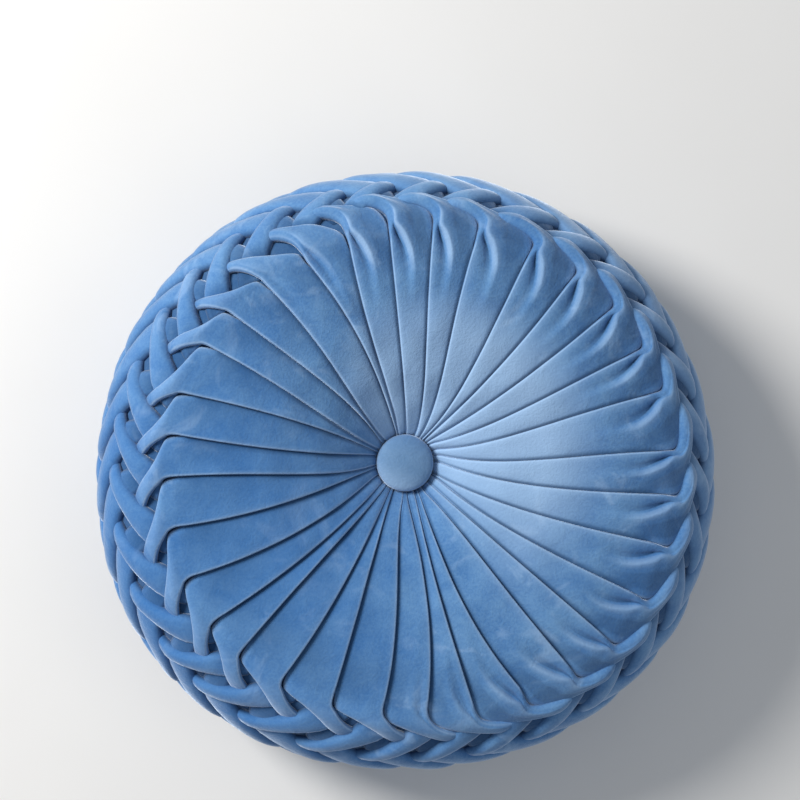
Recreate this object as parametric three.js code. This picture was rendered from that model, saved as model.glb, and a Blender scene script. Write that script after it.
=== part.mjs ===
// Round velvet cushion, lying on its back, in millimetres, with +Z up and its face upwards.
// Thirty-two pleats run out from a covered button. At the rim each one narrows to a neck,
// and four rows of leaning strands are smocked round the side, from the face to the back.
// The cover and its filling are one solid, and each covered button is another.
import * as THREE from 'three';
import { mergeVertices } from 'three/addons/utils/BufferGeometryUtils.js';

// Driving dimensions of the cushion's section
const MID_HEIGHT = 53.5;
const RIM_CENTRE = 138;
const RIM_REACH = 46;
const RIM_RISE = 51;

// The button sits a little off the middle of the outline
const HUB = new THREE.Vector2(-4.5, 6.5);
const BUTTON_RADIUS = 17.25;
const BUTTON_HEIGHT = 11;
const FACE_SEAT = 72;
const BACK_SEAT = 22;
const SEAT_RADIUS = 16;
const GAP = 0.3;

// The outline is a slightly uneven oval: waves round it, their swell and where they peak
const OUTLINE = [
  { waves: 2, swell: 0.019, peak: 0 },
  { waves: 3, swell: 0.008, peak: -24 },
  { waves: 4, swell: 0.007, peak: -43 },
];

// Direction of each pleat's fold from the button, in degrees, at four distances
const DISTANCE = { button: 24, well: 47, crown: 94, rim: 142 };
const FOLDS = [
  { button: 9, well: 1.5, crown: 2.3, rim: 2.8 },
  { button: 20, well: 15, crown: 16, rim: 16 },
  { button: 32, well: 25.8, crown: 26, rim: 26.2 },
  { button: 40, well: 37, crown: 36.7, rim: 37.3 },
  { button: 48, well: 47, crown: 47.5, rim: 48.6 },
  { button: 52.5, well: 54, crown: 58.5, rim: 60.3 },
  { button: 60.5, well: 67, crown: 73, rim: 73.7 },
  { button: 71, well: 78, crown: 83.5, rim: 84.5 },
  { button: 89, well: 93, crown: 95, rim: 95.3 },
  { button: 103, well: 105.5, crown: 107, rim: 105.8 },
  { button: 107, well: 109.5, crown: 113, rim: 117.3 },
  { button: 132, well: 130.5, crown: 128, rim: 129 },
  { button: 137, well: 135, crown: 138, rim: 140 },
  { button: 153, well: 151.6, crown: 149.5, rim: 149.7 },
  { button: 158, well: 158, crown: 160.3, rim: 162.5 },
  { button: 168, well: 172.5, crown: 173.5, rim: 172.7 },
  { button: 187, well: 187, crown: 183.5, rim: 182.8 },
  { button: 192, well: 196, crown: 196.7, rim: 194.7 },
  { button: 207, well: 211, crown: 210, rim: 206.8 },
  { button: 222, well: 222, crown: 220.3, rim: 218.3 },
  { button: 230.5, well: 228, crown: 227, rim: 227.5 },
  { button: 241.8, well: 241.3, crown: 240.6, rim: 239 },
  { button: 247.5, well: 248.5, crown: 250.5, rim: 251.5 },
  { button: 265.5, well: 263, crown: 264.8, rim: 263.5 },
  { button: 274.8, well: 277, crown: 276.7, rim: 274 },
  { button: 286.5, well: 282.8, crown: 283.3, rim: 284.8 },
  { button: 293.5, well: 290, crown: 291.7, rim: 296.3 },
  { button: 306, well: 307.5, crown: 307.5, rim: 308.3 },
  { button: 319.3, well: 318, crown: 318.2, rim: 318.6 },
  { button: 331.5, well: 326.5, crown: 328, rim: 330 },
  { button: 337.5, well: 336.5, crown: 339.5, rim: 342 },
  { button: 357, well: 350, crown: 351, rim: 353 },
];
const PLEATS = FOLDS.length;

// Points across one pleat, from the crease under its neighbour's fold to its own fold
const PLEAT_SECTION = [
  { place: 0.04, height: -1 },
  { place: 0.22, height: -0.15 },
  { place: 0.45, height: 0.35 },
  { place: 0.68, height: 0.7 },
  { place: 0.88, height: 1 },
  { place: 0.97, height: 0.85 },
];

// Points across one smocked strand, from the groove beside it over its round back
const STRAND_SECTION = [-2.8, -0.6, 1.7, 2.6, 1.9, -0.4];
const STEPS = PLEAT_SECTION.length;
const COLUMNS = PLEATS * STEPS;

// A pleat narrower than this is gathered too tightly to stand to its full relief
const FULL_PLEAT = 5;

// Rings across the face, from under the button to the bend of the necks
const FACE_RINGS = [
  { radius: SEAT_RADIUS, height: FACE_SEAT, relief: 0 },
  { radius: 24, height: 78.5, relief: 1 },
  { radius: 36, height: 87, relief: 1.5 },
  { radius: 56, height: 96.5, relief: 1.9 },
  { radius: 85, height: 103.5, relief: 2 },
  { radius: 115, height: 106, relief: 2 },
  { radius: 137, height: 104.6, relief: 2.2 },
];

// Rings across the back, which is flat where it lies
const REST_INNER = 60;
const REST_OUTER = 126;
const BACK_RINGS = [
  { radius: REST_OUTER, height: 0, relief: 0 },
  { radius: REST_INNER, height: 0, relief: 0 },
  { radius: 36, height: 9, relief: 1.2 },
  { radius: 24, height: 17, relief: 1 },
  { radius: SEAT_RADIUS, height: BACK_SEAT, relief: 0 },
];

// Rows of the smocked side: where each starts and ends, as angles above the middle height,
// the places of its rings, and how far along the pleats its strands lean. A strand is full
// where it crosses the end of the one before, and sinks where it goes under the next.
const LEAN = 0.87;
const TURN = 0.35;
const NECK = [
  { place: 0.35, relief: 0.9 },
  { place: 0.85, relief: 0.85 },
];
const STRAND = [
  { place: 0.17, relief: 1.1 },
  { place: 0.5, relief: 1.05 },
  { place: 0.83, relief: 0.75 },
];
const mirrored = (rings) => rings.map((ring) => ({ ...ring, place: 1 - ring.place })).reverse();
const SIDE_ROWS = [
  { from: 78, to: 54, leanFrom: 0, leanTo: LEAN, back: false, rings: NECK },
  { from: 54, to: 27, leanFrom: LEAN, leanTo: TURN, back: false, rings: STRAND },
  { from: 27, to: 0, leanFrom: TURN, leanTo: LEAN, back: false, rings: STRAND },
  { from: 0, to: -27, leanFrom: LEAN, leanTo: TURN, back: true, rings: mirrored(STRAND) },
  { from: -27, to: -54, leanFrom: TURN, leanTo: LEAN, back: true, rings: mirrored(STRAND) },
  { from: -54, to: -78, leanFrom: LEAN, leanTo: 0, back: true, rings: mirrored(NECK) },
];

const lerp = THREE.MathUtils.lerp;
const radians = THREE.MathUtils.degToRad;

// The way from one named distance to the next, along a fold
function foldAt(pleat, radius) {
  const turns = Math.floor(pleat / PLEATS);
  const fold = FOLDS[pleat - turns * PLEATS];
  const names = Object.keys(DISTANCE);
  let angle = fold.button;
  for (let n = 1; n < names.length; n += 1) {
    const start = DISTANCE[names[n - 1]];
    const end = DISTANCE[names[n]];
    const share = THREE.MathUtils.clamp((radius - start) / (end - start), 0, 1);
    angle += (fold[names[n]] - fold[names[n - 1]]) * share;
  }
  return angle + 360 * turns;
}

// Direction of any place round the cushion, counted in pleats
function directionAt(place, radius) {
  const pleat = Math.floor(place);
  const share = place - pleat;
  return radians(lerp(foldAt(pleat, radius), foldAt(pleat + 1, radius), share));
}

// How wide one pleat is there, which limits how high it can stand
function pleatWidth(place, radius) {
  const pleat = Math.floor(place);
  return radius * radians(foldAt(pleat + 1, radius) - foldAt(pleat, radius));
}

// A point of the uneven oval ring of this radius, in a direction from the button
function onRing(direction, radius, height) {
  const share = THREE.MathUtils.smoothstep(radius, 0, RIM_CENTRE);
  let swell = 1;
  for (const wave of OUTLINE) {
    swell += share * wave.swell * Math.cos(wave.waves * (direction - radians(wave.peak)));
  }
  const ray = new THREE.Vector2(Math.cos(direction), Math.sin(direction));
  const offset = HUB.clone().multiplyScalar(-share);
  const along = offset.dot(ray);
  const aside = offset.cross(ray);
  const reach = along + Math.sqrt((radius * swell) ** 2 - aside ** 2);
  return new THREE.Vector3(HUB.x + reach * ray.x, HUB.y + reach * ray.y, height);
}

// Every ring from the back's middle up to the face's, with the kind of relief it carries
function sectionRings() {
  const pleated = (back) => (ring) => ({ ...ring, lean: 0, pleated: true, back });
  const rings = [FACE_RINGS[0], ...FACE_RINGS].map(pleated(false));
  for (const row of SIDE_ROWS) {
    for (const { place, relief } of row.rings) {
      const angle = radians(lerp(row.from, row.to, place));
      rings.push({
        radius: RIM_CENTRE + RIM_REACH * Math.cos(angle),
        height: MID_HEIGHT + RIM_RISE * Math.sin(angle),
        lean: lerp(row.leanFrom, row.leanTo, place),
        relief,
        pleated: false,
        back: row.back,
      });
    }
  }
  rings.push(...[...BACK_RINGS, BACK_RINGS.at(-1)].map(pleated(true)));
  rings[0].radius = 0;
  rings.at(-1).radius = 0;
  return rings.reverse();
}

// The step of a column in its pleat or strand: those of the back lie half a pleat further on
function stepAt(ring, column) {
  const shift = ring.back ? STEPS / 2 : 0;
  return (column + shift) % STEPS;
}

// Place of a column, counted in pleats
function placeAt(ring, column) {
  const step = stepAt(ring, column);
  const even = (step + 0.5) / STEPS;
  const across = ring.pleated ? PLEAT_SECTION[step].place : even;
  return Math.floor((column - step) / STEPS) + across + (ring.back ? 0.5 : 0) + ring.lean;
}

// Height of the relief at a column of a ring
function reliefAt(ring, column) {
  const step = stepAt(ring, column);
  if (!ring.pleated) {
    return ring.relief * STRAND_SECTION[step];
  }
  const room = Math.min(1, pleatWidth(placeAt(ring, column), ring.radius) / FULL_PLEAT);
  return ring.relief * room * PLEAT_SECTION[step].height;
}

// The relief stands straight out from the section, so each ring knows its own normal
function addNormals(rings) {
  rings.forEach((ring, n) => {
    const before = rings[Math.max(n - 1, 0)];
    const after = rings[Math.min(n + 1, rings.length - 1)];
    const along = new THREE.Vector2(after.radius - before.radius, after.height - before.height);
    ring.normal = new THREE.Vector2(along.y, -along.x).normalize();
  });
}

// A lathe makes the closed skin, and each of its points is then set on its pleat or strand
function cushionGeometry() {
  const rings = sectionRings();
  addNormals(rings);
  const section = rings.map((ring) => new THREE.Vector2(ring.radius, ring.height));
  const skin = new THREE.LatheGeometry(section, COLUMNS);
  const points = skin.attributes.position;
  for (let side = 0; side <= COLUMNS; side += 1) {
    const column = side % COLUMNS;
    rings.forEach((ring, n) => {
      const relief = reliefAt(ring, column);
      const radius = Math.max(ring.radius + relief * ring.normal.x, 0);
      const height = ring.height + relief * ring.normal.y;
      const direction = directionAt(placeAt(ring, column), ring.radius);
      const spot = onRing(direction, radius, height);
      points.setXYZ(side * rings.length + n, spot.x, spot.y, spot.z);
    });
  }
  return closedSkin(skin);
}

// The seam of a lathe is merged, and the triangles that shrink to nothing on the axis go
function closedSkin(skin) {
  skin.deleteAttribute('normal');
  skin.deleteAttribute('uv');
  const merged = mergeVertices(skin, 1e-4);
  const corners = merged.index.array;
  const kept = [];
  for (let n = 0; n < corners.length; n += 3) {
    const [a, b, c] = corners.slice(n, n + 3);
    if (a !== b && b !== c && c !== a) {
      kept.push(a, b, c);
    }
  }
  merged.setIndex(kept);
  merged.computeVertexNormals();
  return merged;
}

// Section of a covered button, from its flat underside round its edge to its domed top
const BUTTON_SECTION = [
  { radius: 0, height: 0 },
  { radius: 0.78, height: 0 },
  { radius: 0.92, height: 0.13 },
  { radius: 1, height: 0.36 },
  { radius: 0.97, height: 0.57 },
  { radius: 0.84, height: 0.78 },
  { radius: 0.6, height: 0.92 },
  { radius: 0.3, height: 0.985 },
  { radius: 0, height: 1 },
];
const BUTTON_SIDES = 36;

function buttonGeometry() {
  const section = BUTTON_SECTION.map(
    (point) => new THREE.Vector2(point.radius * BUTTON_RADIUS, point.height * BUTTON_HEIGHT),
  );
  const button = closedSkin(new THREE.LatheGeometry(section, BUTTON_SIDES));
  return button.rotateX(Math.PI / 2);
}

function velvet(colour) {
  return new THREE.MeshStandardMaterial({ color: colour, roughness: 0.9, metalness: 0 });
}

function cushionPiece() {
  const cushion = new THREE.Mesh(cushionGeometry(), velvet(0x5b8ac0));
  cushion.name = 'cushion';
  return cushion;
}

// Both buttons are drawn down into the middle by the thread between them
function buttonPiece(name, seat, facesUp) {
  const button = new THREE.Mesh(buttonGeometry(), velvet(0x6d9acb));
  button.name = name;
  button.position.set(HUB.x, HUB.y, seat + (facesUp ? GAP : -GAP));
  button.rotation.x = facesUp ? 0 : Math.PI;
  return button;
}

const parts = new THREE.Group();
parts.add(cushionPiece());
parts.add(buttonPiece('face_button', FACE_SEAT, true));
parts.add(buttonPiece('back_button', BACK_SEAT, false));

// The origin is under the middle of the cushion, on the surface that it lies on
const box = new THREE.Box3().setFromObject(parts);
const middle = box.getCenter(new THREE.Vector3());
parts.position.set(-middle.x, -middle.y, -box.min.z);

const group = new THREE.Group();
group.add(parts);

export default group;
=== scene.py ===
import math

import bpy
import numpy as np
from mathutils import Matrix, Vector


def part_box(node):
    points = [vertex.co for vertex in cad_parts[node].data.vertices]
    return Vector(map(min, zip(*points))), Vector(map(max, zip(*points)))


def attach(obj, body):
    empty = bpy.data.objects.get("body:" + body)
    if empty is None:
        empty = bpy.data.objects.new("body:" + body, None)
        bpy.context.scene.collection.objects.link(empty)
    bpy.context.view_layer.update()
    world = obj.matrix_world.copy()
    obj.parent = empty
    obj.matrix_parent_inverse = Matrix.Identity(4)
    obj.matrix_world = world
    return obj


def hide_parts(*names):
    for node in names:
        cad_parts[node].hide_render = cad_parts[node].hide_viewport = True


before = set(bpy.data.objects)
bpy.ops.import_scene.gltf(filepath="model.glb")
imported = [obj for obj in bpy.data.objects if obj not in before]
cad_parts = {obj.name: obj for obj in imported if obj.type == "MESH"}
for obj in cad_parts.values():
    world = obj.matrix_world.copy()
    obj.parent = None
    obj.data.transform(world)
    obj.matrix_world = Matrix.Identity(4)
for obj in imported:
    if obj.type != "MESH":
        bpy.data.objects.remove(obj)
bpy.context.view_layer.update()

# Lengths of the cover are worked out in millimetres and made metres at the end
MM = 0.001

# The cushion's section: the half oval of its rim, drawn at these steps in degrees, how far up
# it the pleats bend over, and the lines of the face and the back as radius and height. Its
# corners are smoothed over this many millimetres each way
MID_HEIGHT = 53.5
RIM_CENTRE = 138.0
RIM_REACH = 46.0
RIM_RISE = 51.0
RIM_STEP = 6
NECK_BEND = 78
SMOOTHING = 9
FACE_LINE = [(16, 72), (24, 78.5), (36, 87), (56, 96.5), (85, 103.5), (115, 106), (137, 104.6)]
BACK_LINE = [(126, 0), (60, 0), (36, 9), (24, 17), (16, 22)]

# How far the button stands off the middle, and the waves round the outline that make its
# uneven oval: how many, their swell and where they peak
HUB_OFFSET = (-4.5, 6.5)
OUTLINE = [(2, 0.019, 0), (3, 0.008, -24), (4, 0.007, -43)]

# Direction of each pleat's fold from the button, in degrees, at these distances
DISTANCES = (24, 47, 94, 142)
FOLDS = [
    (9, 1.5, 2.3, 2.8), (20, 15, 16, 16), (32, 25.8, 26, 26.2), (40, 37, 36.7, 37.3),
    (48, 47, 47.5, 48.6), (52.5, 54, 58.5, 60.3), (60.5, 67, 73, 73.7), (71, 78, 83.5, 84.5),
    (89, 93, 95, 95.3), (103, 105.5, 107, 105.8), (107, 109.5, 113, 117.3), (132, 130.5, 128, 129),
    (137, 135, 138, 140), (153, 151.6, 149.5, 149.7), (158, 158, 160.3, 162.5),
    (168, 172.5, 173.5, 172.7), (187, 187, 183.5, 182.8), (192, 196, 196.7, 194.7),
    (207, 211, 210, 206.8), (222, 222, 220.3, 218.3), (230.5, 228, 227, 227.5),
    (241.8, 241.3, 240.6, 239), (247.5, 248.5, 250.5, 251.5), (265.5, 263, 264.8, 263.5),
    (274.8, 277, 276.7, 274), (286.5, 282.8, 283.3, 284.8), (293.5, 290, 291.7, 296.3),
    (306, 307.5, 307.5, 308.3), (319.3, 318, 318.2, 318.6), (331.5, 326.5, 328, 330),
    (337.5, 336.5, 339.5, 342), (357, 350, 351, 353),
]
PLEATS = len(FOLDS)

# Key rows of one pleat past the face. Places are counted in pleats from its own fold and run
# from the fold's edge to the tucked edge, each with its distance past the bend, then the
# heights of the two edges, the crown between them and how far the ridge lies inside the fold
TURNED_NECK = [
    (0, -24, -1.08, -24, 1.6, -1.6, 0.6, 0.3),
    (0, -14, -1.06, -14, 1.7, -1.6, 0.6, 0.3),
    (0, -8, -1.0, -8, 1.9, -1.4, 0.8, 0.3),
    (0.01, -3.5, -0.96, -2.8, 2.2, -1.0, 1.0, 0.25),
    (0.05, -0.4, -0.9, 0.4, 2.5, -0.4, 1.3, 0.2),
    (0.13, 1.9, -0.73, 2.2, 2.7, 0.3, 1.6, 0.16),
    (0.22, 4.5, -0.5, 4.0, 2.8, 0.9, 1.8, 0.14),
    (0.32, 7.2, -0.29, 6.6, 2.4, 1.2, 1.9, 0.12),
    (0.41, 9.4, -0.12, 9.8, 1.7, 0.9, 1.8, 0.12),
    (0.5, 11.4, 0.02, 13.4, 0.7, 0.2, 1.7, 0.1),
    (0.58, 13.2, 0.15, 17, -0.6, -0.9, 1.6, 0.1),
    (0.66, 15, 0.27, 20.2, -1.9, -2.1, 1.4, 0.08),
    (0.73, 16.8, 0.38, 23, -2.6, -3.0, 1.0, 0.06),
    (0.82, 19, 0.5, 25.5, -4.2, -4.4, 0.5, 0.03),
]
RIDGED_NECK = [
    (0, -24, -1.08, -24, 1.6, -1.6, 0.6, 0.58),
    (0, -14, -1.06, -14, 1.5, -1.8, 0.4, 0.52),
    (0, -6, -1.02, -6, 1.3, -2.0, 0.4, 0.4),
    (0, -1, -1.02, 0, 1.1, -1.9, 0.5, 0.28),
    (0, 2.4, -1.02, 4.5, 0.9, -1.8, 0.8, 0.16),
    (0, 5.6, -0.98, 9, 1.5, -1.8, 0.8, 0.12),
    (0.03, 8.2, -0.86, 13, 2.0, -1.8, 0.8, 0.15),
    (0.12, 10.0, -0.6, 16.6, 2.4, -1.4, 1.1, 0.17),
    (0.24, 11.2, -0.28, 18.8, 2.6, -0.7, 1.6, 0.17),
    (0.37, 12.0, 0.0, 20.8, 2.7, 0.1, 2.0, 0.14),
    (0.5, 13.0, 0.21, 22.4, 2.6, 0.6, 2.0, 0.1),
    (0.64, 14.0, 0.38, 23.8, 2.0, 0.5, 1.8, 0.06),
    (0.78, 15.4, 0.54, 24.8, 0.5, -0.8, 1.3, 0.03),
    (0.92, 17.4, 0.7, 25.4, -2.4, -2.8, 0.5, 0.02),
]

# The ridge of a ridged neck: where it starts and how high it stands over the hollow beside it
# at each key row, then how that height is shared over the columns from the fold, past the
# hollow, to the tuck, on the face and past the bend. The hollow lies a step from the crest
RIDGE_START = -46
RIDGE_RISE = [1.6, 3.4, 5.0, 5.6, 5.0, 4.0, 3.4, 2.8, 2.0, 1.2, 0.6, 0, 0, 0]
RIDGE_LIFT = (-0.1, -0.34, -0.55, -0.08, 0.4, 0.36, 0.26, 0.15, 0.06, 0)
NECK_LIFT = (0.05, 0.15, 0.28, 0.38, 0.44, 0.42, 0.28, 0.0, -0.12, -0.06)
HOLLOW_STEP = 4.4

# Key rows of the leaning strands: near edge, far edge, their heights and the crown. Inner
# strands lie next to the necks and lean one way, outer ones lie further down and lean back
INNER_STRAND = [
    (0.86, -1, 1.5, 4, -1.6, -2.4, 0.6),
    (0.7, 4.5, 1.36, 10, -1.0, -1.8, 1.2),
    (0.57, 9.6, 1.15, 17, 0.2, -1.0, 2.0),
    (0.47, 14.3, 0.88, 23.4, 1.0, -0.4, 2.4),
    (0.32, 18.8, 0.64, 28.2, 1.4, 0.4, 2.4),
    (0.16, 23.4, 0.43, 32.4, 1.5, 0.9, 2.4),
    (-0.01, 28, 0.24, 36.2, 1.4, 1.1, 2.3),
    (-0.17, 32.2, 0.07, 39.6, 0.9, 0.9, 2.0),
    (-0.31, 36, -0.11, 42.6, -0.6, -0.4, 1.4),
    (-0.42, 39.5, -0.26, 45.5, -3.0, -3.0, 0.6),
]
OUTER_STRAND = [
    (-0.8, 12, -1.3, 17, -2.2, -2.8, 0.6),
    (-0.7, 19, -1.22, 25.5, -1.4, -1.8, 1.4),
    (-0.56, 26.5, -1.14, 34, -0.6, -1.2, 2.0),
    (-0.39, 33, -1.02, 41.4, 0.4, -0.9, 2.2),
    (-0.19, 38, -0.8, 46.8, 1.2, -0.6, 2.4),
    (0.01, 42.2, -0.51, 51.4, 1.5, 0.2, 2.4),
    (0.21, 47, -0.24, 56, 1.5, 0.7, 2.4),
    (0.4, 52.5, 0, 60.4, 1.4, 0.9, 2.4),
    (0.56, 58.5, 0.22, 65, 1.2, 0.8, 2.3),
    (0.7, 65, 0.42, 70, 0.6, 0.4, 2.0),
    (0.8, 71, 0.6, 75, -1.0, -1.0, 1.3),
    (0.86, 77, 0.74, 79, -3.0, -3.0, 0.6),
]

# How much deeper the first rows of a strand lie where it comes out from under a ridged neck
# or, at the top of the cushion, from under a long one, and how much wider it is among them
INNER_SINK = (2.6, 2.4, 2.0, 1.4, 0.6)
OUTER_SINK = (2.6, 1.8, 0.8, 0, 0)
LONG_SINK = (1.5, 2.4, 2.8, 1.4, 0)
STRAND_SPREAD = 0.16

# How much further down the side the longest necks reach
NECK_REACH = 6

# Radius of the rolled edges at a fold, at the bend, at a flat neck, how much more it is at a
# ridged neck, and at a strand. No roll takes more than its share of the width
FOLD_ROLL = 1.1
BEND_ROLL = 1.6
NECK_ROLL = 2.4
RIDGED_ROLL = 1.6
STRAND_ROLL = 3.4
ROLL_SHARE = 0.26

# How many rows each kind of strip is made of
FACE_ROWS = 32
NECK_ROWS = 34
STRAND_ROWS = 16
BACK_FACE_ROWS = 14
BACK_NECK_ROWS = 15

# How far a strip reaches under its lower edge, in itself and for each millimetre of its roll,
# and the shares across it where its underside turns
STRIP_DEPTH = 1.2
ROLL_DEPTH = 1.8
UNDER_SHARES = (0.8, 0.2)

# How much deeper the back's pleats lie, and how far under the cover the filling is, with the
# length of its steps
BACK_DEPTH = 1.2
CORE_DEPTH = 3.6
CORE_STEP = 8.0

# The plain state of the painted shading, between painted shade in the creases and painted highlights
# on the folds, its painted states round a rolled edge, and the painted shade on the filling
PLAIN = 0.5
ROLL_ANGLES = np.radians((-50, -10, 25, 60, 90))
FOLD_SHADING = (0.0, 0.05, PLAIN, 1.0, 0.7)
STRAND_SHADING = (0.0, 0.05, 0.28, 0.47, 0.54)
CORE_SHADE = 0.15

# How much painted shade darkens a strip where it dips under another, in full at this depth under
# this level and at this distance past the bend, and beside a tucked edge, within its reach
DIP_SHADE = 0.42
DIP_LEVEL = 0.1
DIP_DEPTH = 2.4
DIP_DISTANCE = 6
TUCK_SHADE = 0.6
TUCK_REACH = 3.2

# A covered button's parts, as shares of its radius or height: the height of its band and how
# far under the middle it lies, the insets and rises of its dome, and those of its back
BUTTON_BAND = 0.42
BAND_DROP = 0.12
DOME_STEPS = ((0.2, 0.17), (0.22, 0.1), (0.26, 0.055), (0.32, 0.02))
BACK_STEPS = ((0.08, 0.14), (0.2, 0.03))

# The camera: its lean from straight above the face, its distance from a point on its axis,
# and its lens and sensor
TILT = math.radians(6.5)
CAMERA_DISTANCE = 1.3
AXIS_POINT = Vector((-0.0055, 0.0428, 0.0535))
LENS = 95.7
SENSOR = 36


def add_camera():
    data = bpy.data.cameras.new("camera")
    data.lens = LENS
    data.sensor_width = SENSOR
    camera = bpy.data.objects.new("camera", data)
    bpy.context.collection.objects.link(camera)
    away = Vector((-math.sin(TILT), 0, math.cos(TILT)))
    camera.location = AXIS_POINT + away * CAMERA_DISTANCE
    camera.rotation_euler = (0, -TILT, 0)
    bpy.context.scene.camera = camera


def add_soft_light(name, place, size, watts, tint):
    data = bpy.data.lights.new(name, "AREA")
    data.shape = "DISK"
    data.size = size
    data.energy = watts
    data.color = tint
    light = bpy.data.objects.new(name, data)
    bpy.context.collection.objects.link(light)
    light.location = place
    light.rotation_euler = (-Vector(place)).to_track_quat("-Z", "Y").to_euler()


def add_studio():
    add_soft_light("window_light", place=(-1.4, 0.76, 1.15), size=0.7, watts=44,
                   tint=(1.0, 0.98, 0.95))
    add_soft_light("fill_light", place=(1.2, -0.6, 1.4), size=1.6, watts=4,
                   tint=(0.93, 0.96, 1.0))
    world = bpy.data.worlds.new("studio")
    bpy.context.scene.world = world
    world.use_nodes = True
    backdrop = world.node_tree.nodes["Background"]
    backdrop.inputs["Color"].default_value = (0.85, 0.91, 1.0, 1)
    backdrop.inputs["Strength"].default_value = 0.3
    bpy.context.scene.view_settings.view_transform = "Standard"


class Value:
    """A number of a material that changes over the surface, for use in expressions."""

    def __init__(self, recipe, socket):
        self.recipe = recipe
        self.socket = socket

    def joined(self, operation, first, second):
        return self.recipe.node("ShaderNodeMath", {"operation": operation}, {0: first, 1: second})

    def __add__(self, other):
        return self.joined("ADD", self, other)

    def __rsub__(self, other):
        return self.joined("SUBTRACT", other, self)

    def __mul__(self, other):
        return self.joined("MULTIPLY", self, other)


class Recipe:
    """The nodes of one finish."""

    def __init__(self, name):
        self.material = bpy.data.materials.new(name)
        self.material.use_nodes = True
        self.tree = self.material.node_tree
        self.tree.nodes.clear()

    def node(self, kind, settings=None, sockets=None, output=0):
        made = self.tree.nodes.new(kind)
        for key, value in (settings or {}).items():
            setattr(made, key, value)
        for key, value in (sockets or {}).items():
            if isinstance(value, Value):
                self.tree.links.new(value.socket, made.inputs[key])
            else:
                made.inputs[key].default_value = value
        return Value(self, made.outputs[output]) if made.outputs else None

    def place(self):
        return self.node("ShaderNodeTexCoord", output="Object")

    def noise(self, place, scale, detail=2, roughness=0.5, distortion=0):
        sockets = {
            "Vector": place, "Scale": scale, "Detail": detail,
            "Roughness": roughness, "Distortion": distortion,
        }
        return self.node("ShaderNodeTexNoise", None, sockets)

    def spread(self, value, low, high):
        sockets = {"Value": value, "From Min": low, "From Max": high}
        return self.node("ShaderNodeMapRange", {"interpolation_type": "SMOOTHSTEP"}, sockets)

    def over(self, painted):
        """How far a painted value lies over the plain state."""
        return self.spread(painted, PLAIN, 1.0)

    def under(self, painted):
        """How far a painted value lies under the plain state."""
        return 1 - self.spread(painted, 0.0, PLAIN)

    def blend(self, share, first, second):
        sockets = {0: share, 6: (*first, 1) if isinstance(first, tuple) else first, 7: (*second, 1)}
        return self.node("ShaderNodeMix", {"data_type": "RGBA"}, sockets, 2)

    def bump(self, height, strength, distance):
        sockets = {"Height": height, "Strength": strength, "Distance": distance}
        return self.node("ShaderNodeBump", None, sockets)

    def finish(self, shader):
        self.node("ShaderNodeOutputMaterial", None, {"Surface": shader})
        return self.material


def velvet(name, deep, dark, light, pale):
    """Cut velvet: combed and pressed marks in the nap, a fine speckle of pile and a pale sheen.

    It is painted paler along the folds as painted highlights, darker down in the creases as painted
    shade, and paler or deeper on the sides of the cushion as painted light and shade."""
    recipe = Recipe(name)
    place = recipe.place()
    # The pile's own unevenness, from broad patches down to single tufts
    patches = recipe.spread(recipe.noise(place, 17, 3, 0.55, 0.9), 0.34, 0.66)
    streaks = recipe.spread(recipe.noise(place, 75, 3, 0.6, 0.5), 0.3, 0.7)
    pile = recipe.spread(recipe.noise(place, 640, 2, 0.65), 0.3, 0.7)
    tufts = recipe.noise(place, 1300, 1, 0.5)
    mottle = patches * 0.32 + streaks * 0.26 + pile * 0.28 + tufts * 0.14
    # Marks left by hands, and the painted light, shade and highlights carried on the piece
    combed = recipe.spread(recipe.noise(place, 26, 3, 0.6, 1.6), 0.55, 0.74)
    pressed = recipe.spread(recipe.noise(place, 19, 3, 0.6, 1.2), 0.55, 0.74)
    painted_light = recipe.node("ShaderNodeAttribute", {"attribute_name": "painted_light"}, output="Fac")
    painted_shading = recipe.node("ShaderNodeAttribute", {"attribute_name": "painted_shading"}, output="Fac")
    # The colour of the painted shade down in the creases
    painted_crease_shade = tuple(0.35 * part for part in deep)
    colour = recipe.blend(mottle, dark, light)
    colour = recipe.blend(combed * 0.34, colour, pale)
    colour = recipe.blend(pressed * 0.42, colour, deep)
    # Painted light and shade on the sides of the cushion, then painted highlights on the folds and
    # painted shade in the creases
    colour = recipe.blend(recipe.over(painted_light) * 0.8, colour, pale)
    colour = recipe.blend(recipe.under(painted_light) * 0.6, colour, deep)
    colour = recipe.blend(recipe.over(painted_shading) * 0.6, colour, pale)
    colour = recipe.blend(recipe.under(painted_shading) * 0.8, colour, painted_crease_shade)
    raised = pile * 0.32 + tufts * 0.3 + streaks * 0.7
    sockets = {
        "Base Color": colour, "Roughness": 0.95, "Specular IOR Level": 0.12,
        "Sheen Weight": 1.0, "Sheen Roughness": 0.42, "Sheen Tint": (0.72, 0.84, 1.0, 1),
        "Normal": recipe.bump(raised, 0.4, 0.0007),
    }
    return recipe.finish(recipe.node("ShaderNodeBsdfPrincipled", None, sockets))


def pale_paint():
    recipe = Recipe("pale_floor")
    mottle = recipe.noise(recipe.place(), 6, 3)
    colour = recipe.blend(mottle, (0.80, 0.79, 0.77), (0.86, 0.85, 0.83))
    sockets = {"Base Color": colour, "Roughness": 0.8}
    return recipe.finish(recipe.node("ShaderNodeBsdfPrincipled", None, sockets))


def add_floor():
    bpy.ops.object.select_all(action="DESELECT")
    bpy.ops.mesh.primitive_plane_add(size=6, location=(0, 0, 0))
    floor = bpy.context.object
    floor.name = "floor"
    floor.data.materials.append(pale_paint())


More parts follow.
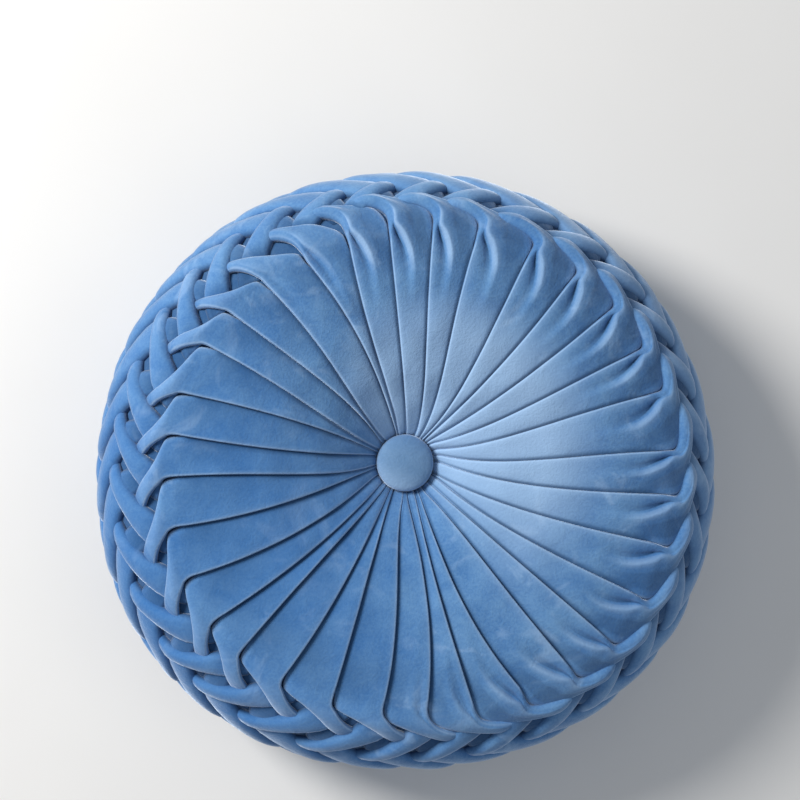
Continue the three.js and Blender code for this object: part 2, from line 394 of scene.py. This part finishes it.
def section_line():
    """The section from the face's middle round the rim to the back's, at each millimetre."""
    angles = np.radians(np.arange(NECK_BEND, -NECK_BEND - 1, -RIM_STEP))
    rim = np.column_stack((RIM_CENTRE + RIM_REACH * np.cos(angles),
                           MID_HEIGHT + RIM_RISE * np.sin(angles)))
    line = np.vstack((FACE_LINE, rim, BACK_LINE))
    along = np.concatenate(([0], np.cumsum(np.hypot(*np.diff(line, axis=0).T))))
    bend = along[len(FACE_LINE)]
    steps = np.arange(0, along[-1], 1.0)
    dense = np.column_stack([np.interp(steps, along, line[:, axis]) for axis in (0, 1)])
    padded = np.pad(dense, ((SMOOTHING, SMOOTHING), (0, 0)), mode="reflect", reflect_type="odd")
    weights = np.hanning(2 * SMOOTHING + 3)[1:-1]
    smooth = np.column_stack([
        np.convolve(padded[:, axis], weights / weights.sum(), mode="valid") for axis in (0, 1)
    ])
    slope = np.gradient(smooth, axis=0)
    slope /= np.hypot(*slope.T)[:, None]
    outward = np.column_stack((-slope[:, 1], slope[:, 0]))
    return steps, smooth, outward, bend


STEPS, SECTION, OUTWARD, BEND = section_line()
LENGTH = STEPS[-1]
HUB = (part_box("face_button")[0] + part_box("face_button")[1]) * 0.5 / MM
FOLD_CURVES = np.polyfit(np.log(DISTANCES), np.array(FOLDS, float).T, 3)


def radius_at(along):
    return np.interp(along, STEPS, SECTION[:, 0])


def direction_at(place, radius):
    """Direction from the button of a place counted in pleats, at this distance."""
    pleat = np.floor(place).astype(int)
    logs = np.log(np.clip(radius, 20, DISTANCES[-1]))

    def fold(index):
        curve = FOLD_CURVES[:, index % PLEATS]
        angle = ((curve[0] * logs + curve[1]) * logs + curve[2]) * logs + curve[3]
        return angle + 360 * (index // PLEATS)

    start = fold(pleat)
    return np.radians(start + (fold(pleat + 1) - start) * (place - pleat))


def cover_points(place, along, height):
    """Points of the cover, from pleats round it, millimetres along it and height over it."""
    radius = radius_at(along)
    direction = direction_at(place, radius)
    radius = radius + height * np.interp(along, STEPS, OUTWARD[:, 0])
    rise = np.interp(along, STEPS, SECTION[:, 1]) + height * np.interp(along, STEPS, OUTWARD[:, 1])
    share = np.clip(radius / RIM_CENTRE, 0, 1)
    share = share * share * (3 - 2 * share)
    swell = 1 + sum(share * size * np.cos(waves * (direction - math.radians(peak)))
                    for waves, size, peak in OUTLINE)
    ray = np.stack((np.cos(direction), np.sin(direction)))
    shift = -share * HUB_OFFSET[0], -share * HUB_OFFSET[1]
    forward = shift[0] * ray[0] + shift[1] * ray[1]
    aside = shift[0] * ray[1] - shift[1] * ray[0]
    reach = forward + np.sqrt((radius * swell) ** 2 - aside ** 2)
    points = np.stack((HUB.x + reach * ray[0], HUB.y + reach * ray[1], np.maximum(rise, 0)), axis=-1)
    return points * MM


def smooth_rows(keys, count):
    """Rows between the key rows, along smooth curves through them."""
    keys = np.array(keys, float)
    ends = np.vstack((2 * keys[0] - keys[1], keys, 2 * keys[-1] - keys[-2]))
    spots = np.linspace(0, len(keys) - 1, count)
    start = np.minimum(spots.astype(int), len(keys) - 2)
    t = (spots - start)[:, None]
    a, b, c, d = (ends[start + n] for n in range(4))
    return 0.5 * (2 * b + (c - a) * t + (2 * a - 5 * b + 4 * c - d) * t ** 2
                  + (3 * b - a - 3 * c + d) * t ** 3)


class Strip:
    """A folded strip of cover as closed loops, one for each row across it.

    Each row holds the places of the near and far edges, their heights and the crown."""

    def __init__(self, pleat, rows, roll):
        self.pleat = pleat
        self.count = len(rows)
        self.near, self.near_y, self.far, self.far_y = rows[:, :4].T
        self.heights = rows[:, 4:7].T
        radius = radius_at(BEND + (self.near_y + self.far_y) / 2)
        self.pitch = radius * (direction_at(pleat + self.near, radius)
                               - direction_at(pleat + self.near - 1, radius))
        self.width = np.hypot((self.near - self.far) * self.pitch, self.near_y - self.far_y)
        self.roll = np.minimum(roll, ROLL_SHARE * self.width)

    def columns(self, inner, edge_shading, lift=None, added_shading=None):
        """Shares across, heights and painted shade and highlights of the top columns, from the near
        edge to the far.
        """
        part = self.roll / self.width
        edge = [part * (1 - math.cos(angle)) for angle in ROLL_ANGLES]
        drop = [self.roll * (1 - math.sin(angle)) for angle in ROLL_ANGLES]
        middle = [part + (1 - 2 * part) * share for share in inner]
        shares = np.array(edge + middle + [1 - share for share in edge[::-1]]).T
        drops = np.array(drop + [0 * part for _ in middle] + drop[::-1]).T
        near_high, far_high, crown = (height[:, None] for height in self.heights)
        high = near_high * (1 - shares) + far_high * shares + 4 * crown * shares * (1 - shares)
        high -= drops
        if lift is not None:
            high[:, len(edge):-len(edge)] += lift
        # Painted highlights and shade round the rolled edges, plain between, and any further painted
        # light and shade added
        painted_shading = np.tile(edge_shading + (PLAIN,) * len(middle) + edge_shading[::-1], (self.count, 1))
        if added_shading is not None:
            painted_shading[:, :-len(edge)] += added_shading
        return shares, high, painted_shading

    def loops(self, columns, mirrored=False, wobble=None, tucked=None):
        """Points and painted shade and highlights of the loops, closed by two columns under the top
        ones.

        A mirrored strip lies on the back half, half a pleat on."""
        shares, high, painted_shading = columns
        under = np.minimum(*self.heights[:2]) - STRIP_DEPTH - ROLL_DEPTH * self.roll
        shares = np.hstack((shares, np.tile(UNDER_SHARES, (self.count, 1))))
        high = np.hstack((high, np.repeat(under[:, None], 2, axis=1)))
        painted_shading = np.hstack((painted_shading, np.zeros((self.count, 2))))
        place = self.near[:, None] + (self.far - self.near)[:, None] * shares
        along = self.near_y[:, None] + (self.far_y - self.near_y)[:, None] * shares
        # Painted shade where the strip dips under another, and beside a tucked edge
        dip = np.clip((DIP_LEVEL - np.mean(self.heights[:2], axis=0)) / DIP_DEPTH, 0, 1)
        painted_shading -= DIP_SHADE * dip[:, None] * np.clip(along / DIP_DISTANCE, 0, 1)
        if tucked is not None:
            past_fold = (place + 1) * self.pitch[:, None]
            painted_shading -= TUCK_SHADE * tucked[:, None] * np.clip(1 - past_fold / TUCK_REACH, 0, 1) ** 2
        if wobble is not None:
            high = high + wobble(self.pleat + place, along)
        place = self.pleat + place + (0.5 if mirrored else 0)
        along = LENGTH - BEND - along if mirrored else BEND + along
        return cover_points(place, along, high), painted_shading


class Cover:
    """Gathers the closed strips of velvet and makes one mesh of them."""

    def __init__(self):
        self.points = []
        self.painted_shadings = []
        self.faces = []
        self.count = 0

    def add(self, loops, painted_shading):
        rows, columns, _ = loops.shape
        first = self.count + np.arange(rows * columns).reshape(rows, columns)
        following = np.roll(first, -1, axis=1)
        quads = np.stack((first[:-1], following[:-1], following[1:], first[1:]), axis=-1)
        self.faces.extend(quads.reshape(-1, 4).tolist())
        self.faces.append(first[0][::-1].tolist())
        self.faces.append(first[-1].tolist())
        self.points.append(loops.reshape(-1, 3))
        self.painted_shadings.append(np.clip(painted_shading, 0, 1).ravel())
        self.count += rows * columns

    def piece(self, name, material):
        mesh = bpy.data.meshes.new(name)
        mesh.from_pydata(np.vstack(self.points).tolist(), [], self.faces)
        mesh.materials.append(material)
        mesh.shade_smooth()
        # Painted shade in creases and gaps, and painted highlights on the folds
        paint(mesh, "painted_shading", np.hstack(self.painted_shadings))
        # Painted light and shade by side of the cushion
        paint(mesh, "painted_light", painted_light_and_shade(np.vstack(self.points) / MM))
        made = bpy.data.objects.new(name, mesh)
        bpy.context.collection.objects.link(made)
        bpy.ops.object.select_all(action="DESELECT")
        made.select_set(True)
        bpy.context.view_layer.objects.active = made
        bpy.ops.object.mode_set(mode="EDIT")
        bpy.ops.mesh.select_all(action="SELECT")
        bpy.ops.mesh.normals_make_consistent(inside=False)
        bpy.ops.object.mode_set(mode="OBJECT")
        return made


def paint(mesh, name, values):
    mesh.attributes.new(name, "FLOAT", "POINT").data.foreach_set("value", values)


def sector(direction, middle, width):
    """A soft sector of the cushion about this direction, 1 in its middle."""
    return np.exp(-((direction - middle) / width) ** 2)


def painted_light_and_shade(points):
    """Painted light and shade: pale on the side of the cushion towards the right of the button, deep
    on the left side.

    It is painted paler near the button at the upper left, as painted light, and deeper in the
    hollows between the top necks and on the arms at the lower right, as painted shade."""
    across, up = points[:, 0] - HUB.x, points[:, 1] - HUB.y
    radius, direction = np.hypot(across, up), np.arctan2(up, across)
    lit = np.cos(direction - math.radians(27))
    pale_side = np.interp(radius, (18, 30, 82, 118, 145), (0.7, 0.94, 0.88, 0.2, 0))
    deep_side = np.interp(radius, (18, 30, 70, 110, 150, 170), (0.2, 0.5, 0.8, 0.8, 0.5, 0))
    dish = np.where(lit > 0, pale_side, deep_side) * (points[:, 2] > MID_HEIGHT)
    side = np.where(lit > 0, 0.4, 0.8) * np.interp(radius, (148, 172), (0, 1))
    hollows = (sector(direction, math.radians(92), 0.8)
               * np.interp(radius, (95, 125, 150, 165), (0, 1, 1, 0)))
    painted_light_patch = (sector(direction, math.radians(120), 0.6)
              * np.interp(radius, (18, 28, 60, 95), (1, 1, 0.7, 0)))
    arms = (sector(direction, math.radians(-25), 0.7)
            * np.interp(radius, (136, 146, 162, 172), (0, 1, 1, 0)))
    lit = np.where(lit > 0, np.abs(lit) ** 0.8, lit)
    return PLAIN + 0.5 * (dish + side) * lit - 0.2 * hollows - 0.34 * arms + 0.36 * painted_light_patch


def unevenness(place, along):
    """Slight unevenness of the filling under the cover."""
    return (0.22 * np.sin(1.7 * place + 0.055 * along)
            + 0.18 * np.sin(4.1 * place - 0.09 * along + 1.3)
            + 0.15 * np.sin(2.9 * place + 0.16 * along + 4.0))


def neck_direction(pleat):
    return FOLDS[pleat % PLEATS][-1]


def ridged_share(pleat):
    """How far a pleat's neck has a ridge of its own: on the side that is drawn in harder."""
    direction = math.radians(neck_direction(pleat))
    return float(np.clip(0.75 + 1.6 * math.cos(direction - math.radians(20)), 0, 1))


def neck_lean(pleat):
    """The necks of the upper left are drawn over less far than the others."""
    return 1 - 0.36 * sector(neck_direction(pleat), 135, 38)


def long_neck(pleat):
    """The necks at the top reach further down the side than the others."""
    return sector(neck_direction(pleat), 100, 34)


def face_relief(radius):
    """How far each pleat of the face stands over the next one."""
    return np.interp(radius, (16, 24, 36, 56, 85, 140), (0.8, 1.5, 2.1, 2.7, 3.1, 3.4))


def face_rows(pleat, count, ridge_place=0.3):
    """Rows of one pleat over the face, from under the button to near the bend."""
    along = np.linspace(0, BEND + TURNED_NECK[0][1], count + 1)[:-1]
    radius = radius_at(along)
    width = radius * (direction_at(np.full(count, float(pleat)), radius)
                      - direction_at(np.full(count, pleat - 1.0), radius))
    # Narrow pleats stand less high, are rounder near the button, and tuck under the next one
    relief = np.minimum(face_relief(radius), 0.6 * width)
    near_hub = np.clip((50 - radius) / 30, 0, 1)
    tuck = np.minimum(0.09, 1.6 / width)
    rows = np.zeros((count, 8))
    rows[:, 1] = rows[:, 3] = along - BEND
    rows[:, 2] = -1 - tuck
    rows[:, 4] = relief * (0.5 - 0.25 * near_hub)
    rows[:, 5] = -relief * 0.5
    rows[:, 6] = 0.24 * relief + 0.25 * relief * near_hub
    rows[:, 7] = ridge_place
    return rows


def ridge_columns(strip, centre):
    """Shares across a pleat that follow its ridge and the hollow beside it.

    The crest of the ridge is the fifth."""
    part = strip.roll / strip.width
    crest = np.clip((centre - part) / (1 - 2 * part), 0.06, 0.8)
    step = np.minimum(HOLLOW_STEP / strip.width, 0.5 * crest)
    foot = crest - step
    before = [foot * 0.4, foot * 0.75, foot, crest - step / 2, crest]
    return before + [crest + (1 - crest) * share for share in (0.1, 0.24, 0.42, 0.62, 0.82)]


def ridge_light_and_shade(distance, share, bright, inner_count):
    """Painted highlight along a ridge, and painted shade in the hollow and beside it.

    Painted shade dulls the fold where it goes under the neck, and painted light and shade make the
    pleats without a ridge pale from the tuck to the fold, and towards the ends of their necks."""
    added_shading = np.zeros((len(distance), len(ROLL_ANGLES) + inner_count))
    along_ridge = share * np.interp(distance, (-30, -12, 9, 16), (0, 1, 0.8, 0))
    hidden = share * np.interp(distance, (-8, 0), (0, 1))
    hollow = share * np.interp(distance, (-34, -8, 3, 5), (0, 1, 1, 0))
    shaded = share * np.interp(distance, (-26, -6, 11, 17), (0, 1, 1, 0))
    crest = len(ROLL_ANGLES) + 4
    for column, paler, more in ((-1, 0.2, 0.15), (0, 0.36, 0.2), (1, 0.24, 0), (2, 0.08, 0)):
        added_shading[:, crest + column] += (paler + more * bright) * along_ridge
    added_shading[:, crest - 3:crest - 1] -= 0.3 * hollow[:, None]
    added_shading[:, crest + 3:crest + 6] -= 0.2 * shaded[:, None]
    slope = (1 - 0.5 * share) * np.interp(distance, (-130, -100, -20, 4), (0, 1, 1, 0))
    arms = (1 - share) * np.interp(distance, (-44, -24, -8, 3, 10), (0, -0.09, -0.09, 0.15, 0.15))
    added_shading[:, len(ROLL_ANGLES):] += (slope[:, None] * np.linspace(0.1, -0.17, inner_count)
                                   + arms[:, None])
    added_shading[:, 2:5] -= hidden[:, None] * (0.1, 0.45, 0.2)
    return added_shading


def add_face_pleats(cover):
    turned, ridged = np.array(TURNED_NECK, float), np.array(RIDGED_NECK, float)
    for pleat in range(PLEATS):
        share = ridged_share(pleat)
        keys = turned + (ridged - turned) * share
        keys[:, 0] *= np.where(keys[:, 0] > 0, neck_lean(pleat), 1)
        keys[:, [1, 3]] += (NECK_REACH * long_neck(pleat)
                            * np.clip(keys[:, [1, 3]] / 12, 0, 1) ** 2)
        rows = np.vstack((face_rows(pleat, FACE_ROWS, keys[0, 7]), smooth_rows(keys, NECK_ROWS)))
        distance = rows[:, 1]
        neck_roll = NECK_ROLL + RIDGED_ROLL * share
        roll = np.interp(distance, (-12, 0, 12), (FOLD_ROLL, BEND_ROLL, neck_roll))
        strip = Strip(pleat, rows, roll)
        marks = np.concatenate(([RIDGE_START], keys[:, 1]))
        rise = share * (1 + 0.3 * long_neck(pleat)) * np.interp(distance, marks, [0] + RIDGE_RISE)
        inner = ridge_columns(strip, rows[:, 7] / np.abs(strip.far - strip.near))
        # Painted highlight along the ridge and painted shade in its hollow and beside it
        added_shading = ridge_light_and_shade(distance, share, long_neck(pleat), len(inner))
        past = np.interp(distance, (-2, 6), (0, 1))[:, None]
        lift = np.array(RIDGE_LIFT) * (1 - past) + np.array(NECK_LIFT) * past
        columns = strip.columns(inner, FOLD_SHADING, rise[:, None] * lift, added_shading)
        # Painted shade beside the tucked edge, fading out at the bend
        tucked = np.interp(distance, (-6, 2), (1, 0))
        cover.add(*strip.loops(columns, wobble=unevenness, tucked=tucked))


def add_strands(cover):
    inner = (0.15, 0.32, 0.5, 0.68, 0.85)
    kinds = (INNER_STRAND, INNER_SINK, LONG_SINK), (OUTER_STRAND, OUTER_SINK, (0,) * 5)
    for keys, sink, long_sink in kinds:
        for pleat in range(PLEATS):
            sunk = np.array(keys, float)
            sunk[:5, 4:6] -= (ridged_share(pleat + 1) * np.array(sink)
                              + long_neck(pleat + 1) * np.array(long_sink))[:, None]
            spread = STRAND_SPREAD * ridged_share(pleat)
            sunk[:, 2:4] += (sunk[:, 2:4] - sunk[:, :2]) * spread
            strip = Strip(pleat, smooth_rows(sunk, STRAND_ROWS), STRAND_ROLL)
            columns = strip.columns(inner, STRAND_SHADING)
            for mirrored in (False, True):
                cover.add(*strip.loops(columns, mirrored, unevenness))


def add_back_pleats(cover):
    inner = (0.2, 0.4, 0.6, 0.8)
    for pleat in range(PLEATS):
        rows = np.vstack((face_rows(pleat, BACK_FACE_ROWS),
                          smooth_rows(TURNED_NECK, BACK_NECK_ROWS)))
        rows[:, 4:6] -= BACK_DEPTH
        strip = Strip(pleat, rows, FOLD_ROLL)
        cover.add(*strip.loops(strip.columns(inner, FOLD_SHADING), mirrored=True))


def add_filling(cover):
    """The filled body under the pleats, which closes every gap between them."""
    along = np.concatenate((np.arange(0, LENGTH, CORE_STEP), [LENGTH]))
    places = np.arange(0, PLEATS, 0.5)
    grid = np.meshgrid(places, along)
    depth = np.full(grid[0].shape, -CORE_DEPTH)
    # The filling is painted dark throughout, as painted shade in the gaps
    cover.add(cover_points(*grid, depth), np.full(depth.shape, CORE_SHADE))


def make_cushion(material):
    cover = Cover()
    add_filling(cover)
    add_face_pleats(cover)
    add_strands(cover)
    add_back_pleats(cover)
    cushion = cover.piece("velvet_cushion", material)
    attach(cushion, "root")
    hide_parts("cushion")


def select_faces(test):
    """Select the faces of the piece in edit mode that pass the test."""
    bpy.ops.mesh.select_all(action="DESELECT")
    bpy.ops.object.mode_set(mode="OBJECT")
    for face in bpy.context.object.data.polygons:
        face.select = test(face)
    bpy.ops.object.mode_set(mode="EDIT")


def covered_button(node, facing, material):
    """A domed button covered in velvet, with the cover drawn in under its rim."""
    low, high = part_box(node)
    radius = (high.x - low.x) / 2
    middle = (low + high) / 2
    height = high.z - low.z
    bpy.ops.object.select_all(action="DESELECT")
    bpy.ops.mesh.primitive_cylinder_add(
        vertices=48, radius=radius, depth=height * BUTTON_BAND,
        location=(middle.x, middle.y, middle.z - facing * height * BAND_DROP))
    button = bpy.context.object
    button.name = node.replace("_", "_covered_")
    bpy.ops.object.transform_apply(location=True, rotation=True, scale=True)
    bpy.ops.object.mode_set(mode="EDIT")
    bpy.ops.mesh.select_mode(type="FACE")
    for way, steps in ((facing, DOME_STEPS), (-facing, BACK_STEPS)):
        select_faces(lambda face: face.normal.z * way > 0.9)
        for inset, rise in steps:
            bpy.ops.mesh.inset(thickness=radius * inset)
            bpy.ops.transform.translate(value=(0, 0, way * height * rise))
    bpy.ops.object.mode_set(mode="OBJECT")
    round_off = button.modifiers.new("round_off", "SUBSURF")
    round_off.levels = round_off.render_levels = 2
    bpy.ops.object.modifier_apply(modifier=round_off.name)
    bpy.ops.object.shade_smooth()
    button.data.materials.append(material)
    # Painted shade under the rim, lighter on the dome, and painted light and shade across it: darker
    # towards the top and right, paler towards the bottom and left
    across, up, out = np.array([point.co - middle for point in button.data.vertices]).T
    paint(button.data, "painted_shading", np.clip((out * facing / height + 0.5) * 1.4, 0.05, 0.55))
    paint(button.data, "painted_light", PLAIN - 0.34 * (0.42 * across + 0.9 * up) / radius)
    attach(button, "root")
    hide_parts(node)


add_camera()
add_studio()
add_floor()
cover_velvet = velvet("cover_velvet", (0.023, 0.122, 0.35), (0.052, 0.162, 0.39),
                      (0.15, 0.31, 0.54), (0.36, 0.53, 0.76))
button_velvet = velvet("button_velvet", (0.04, 0.13, 0.32), (0.105, 0.215, 0.39),
                       (0.165, 0.29, 0.47), (0.36, 0.53, 0.76))
make_cushion(cover_velvet)
covered_button("face_button", 1, button_velvet)
covered_button("back_button", -1, button_velvet)
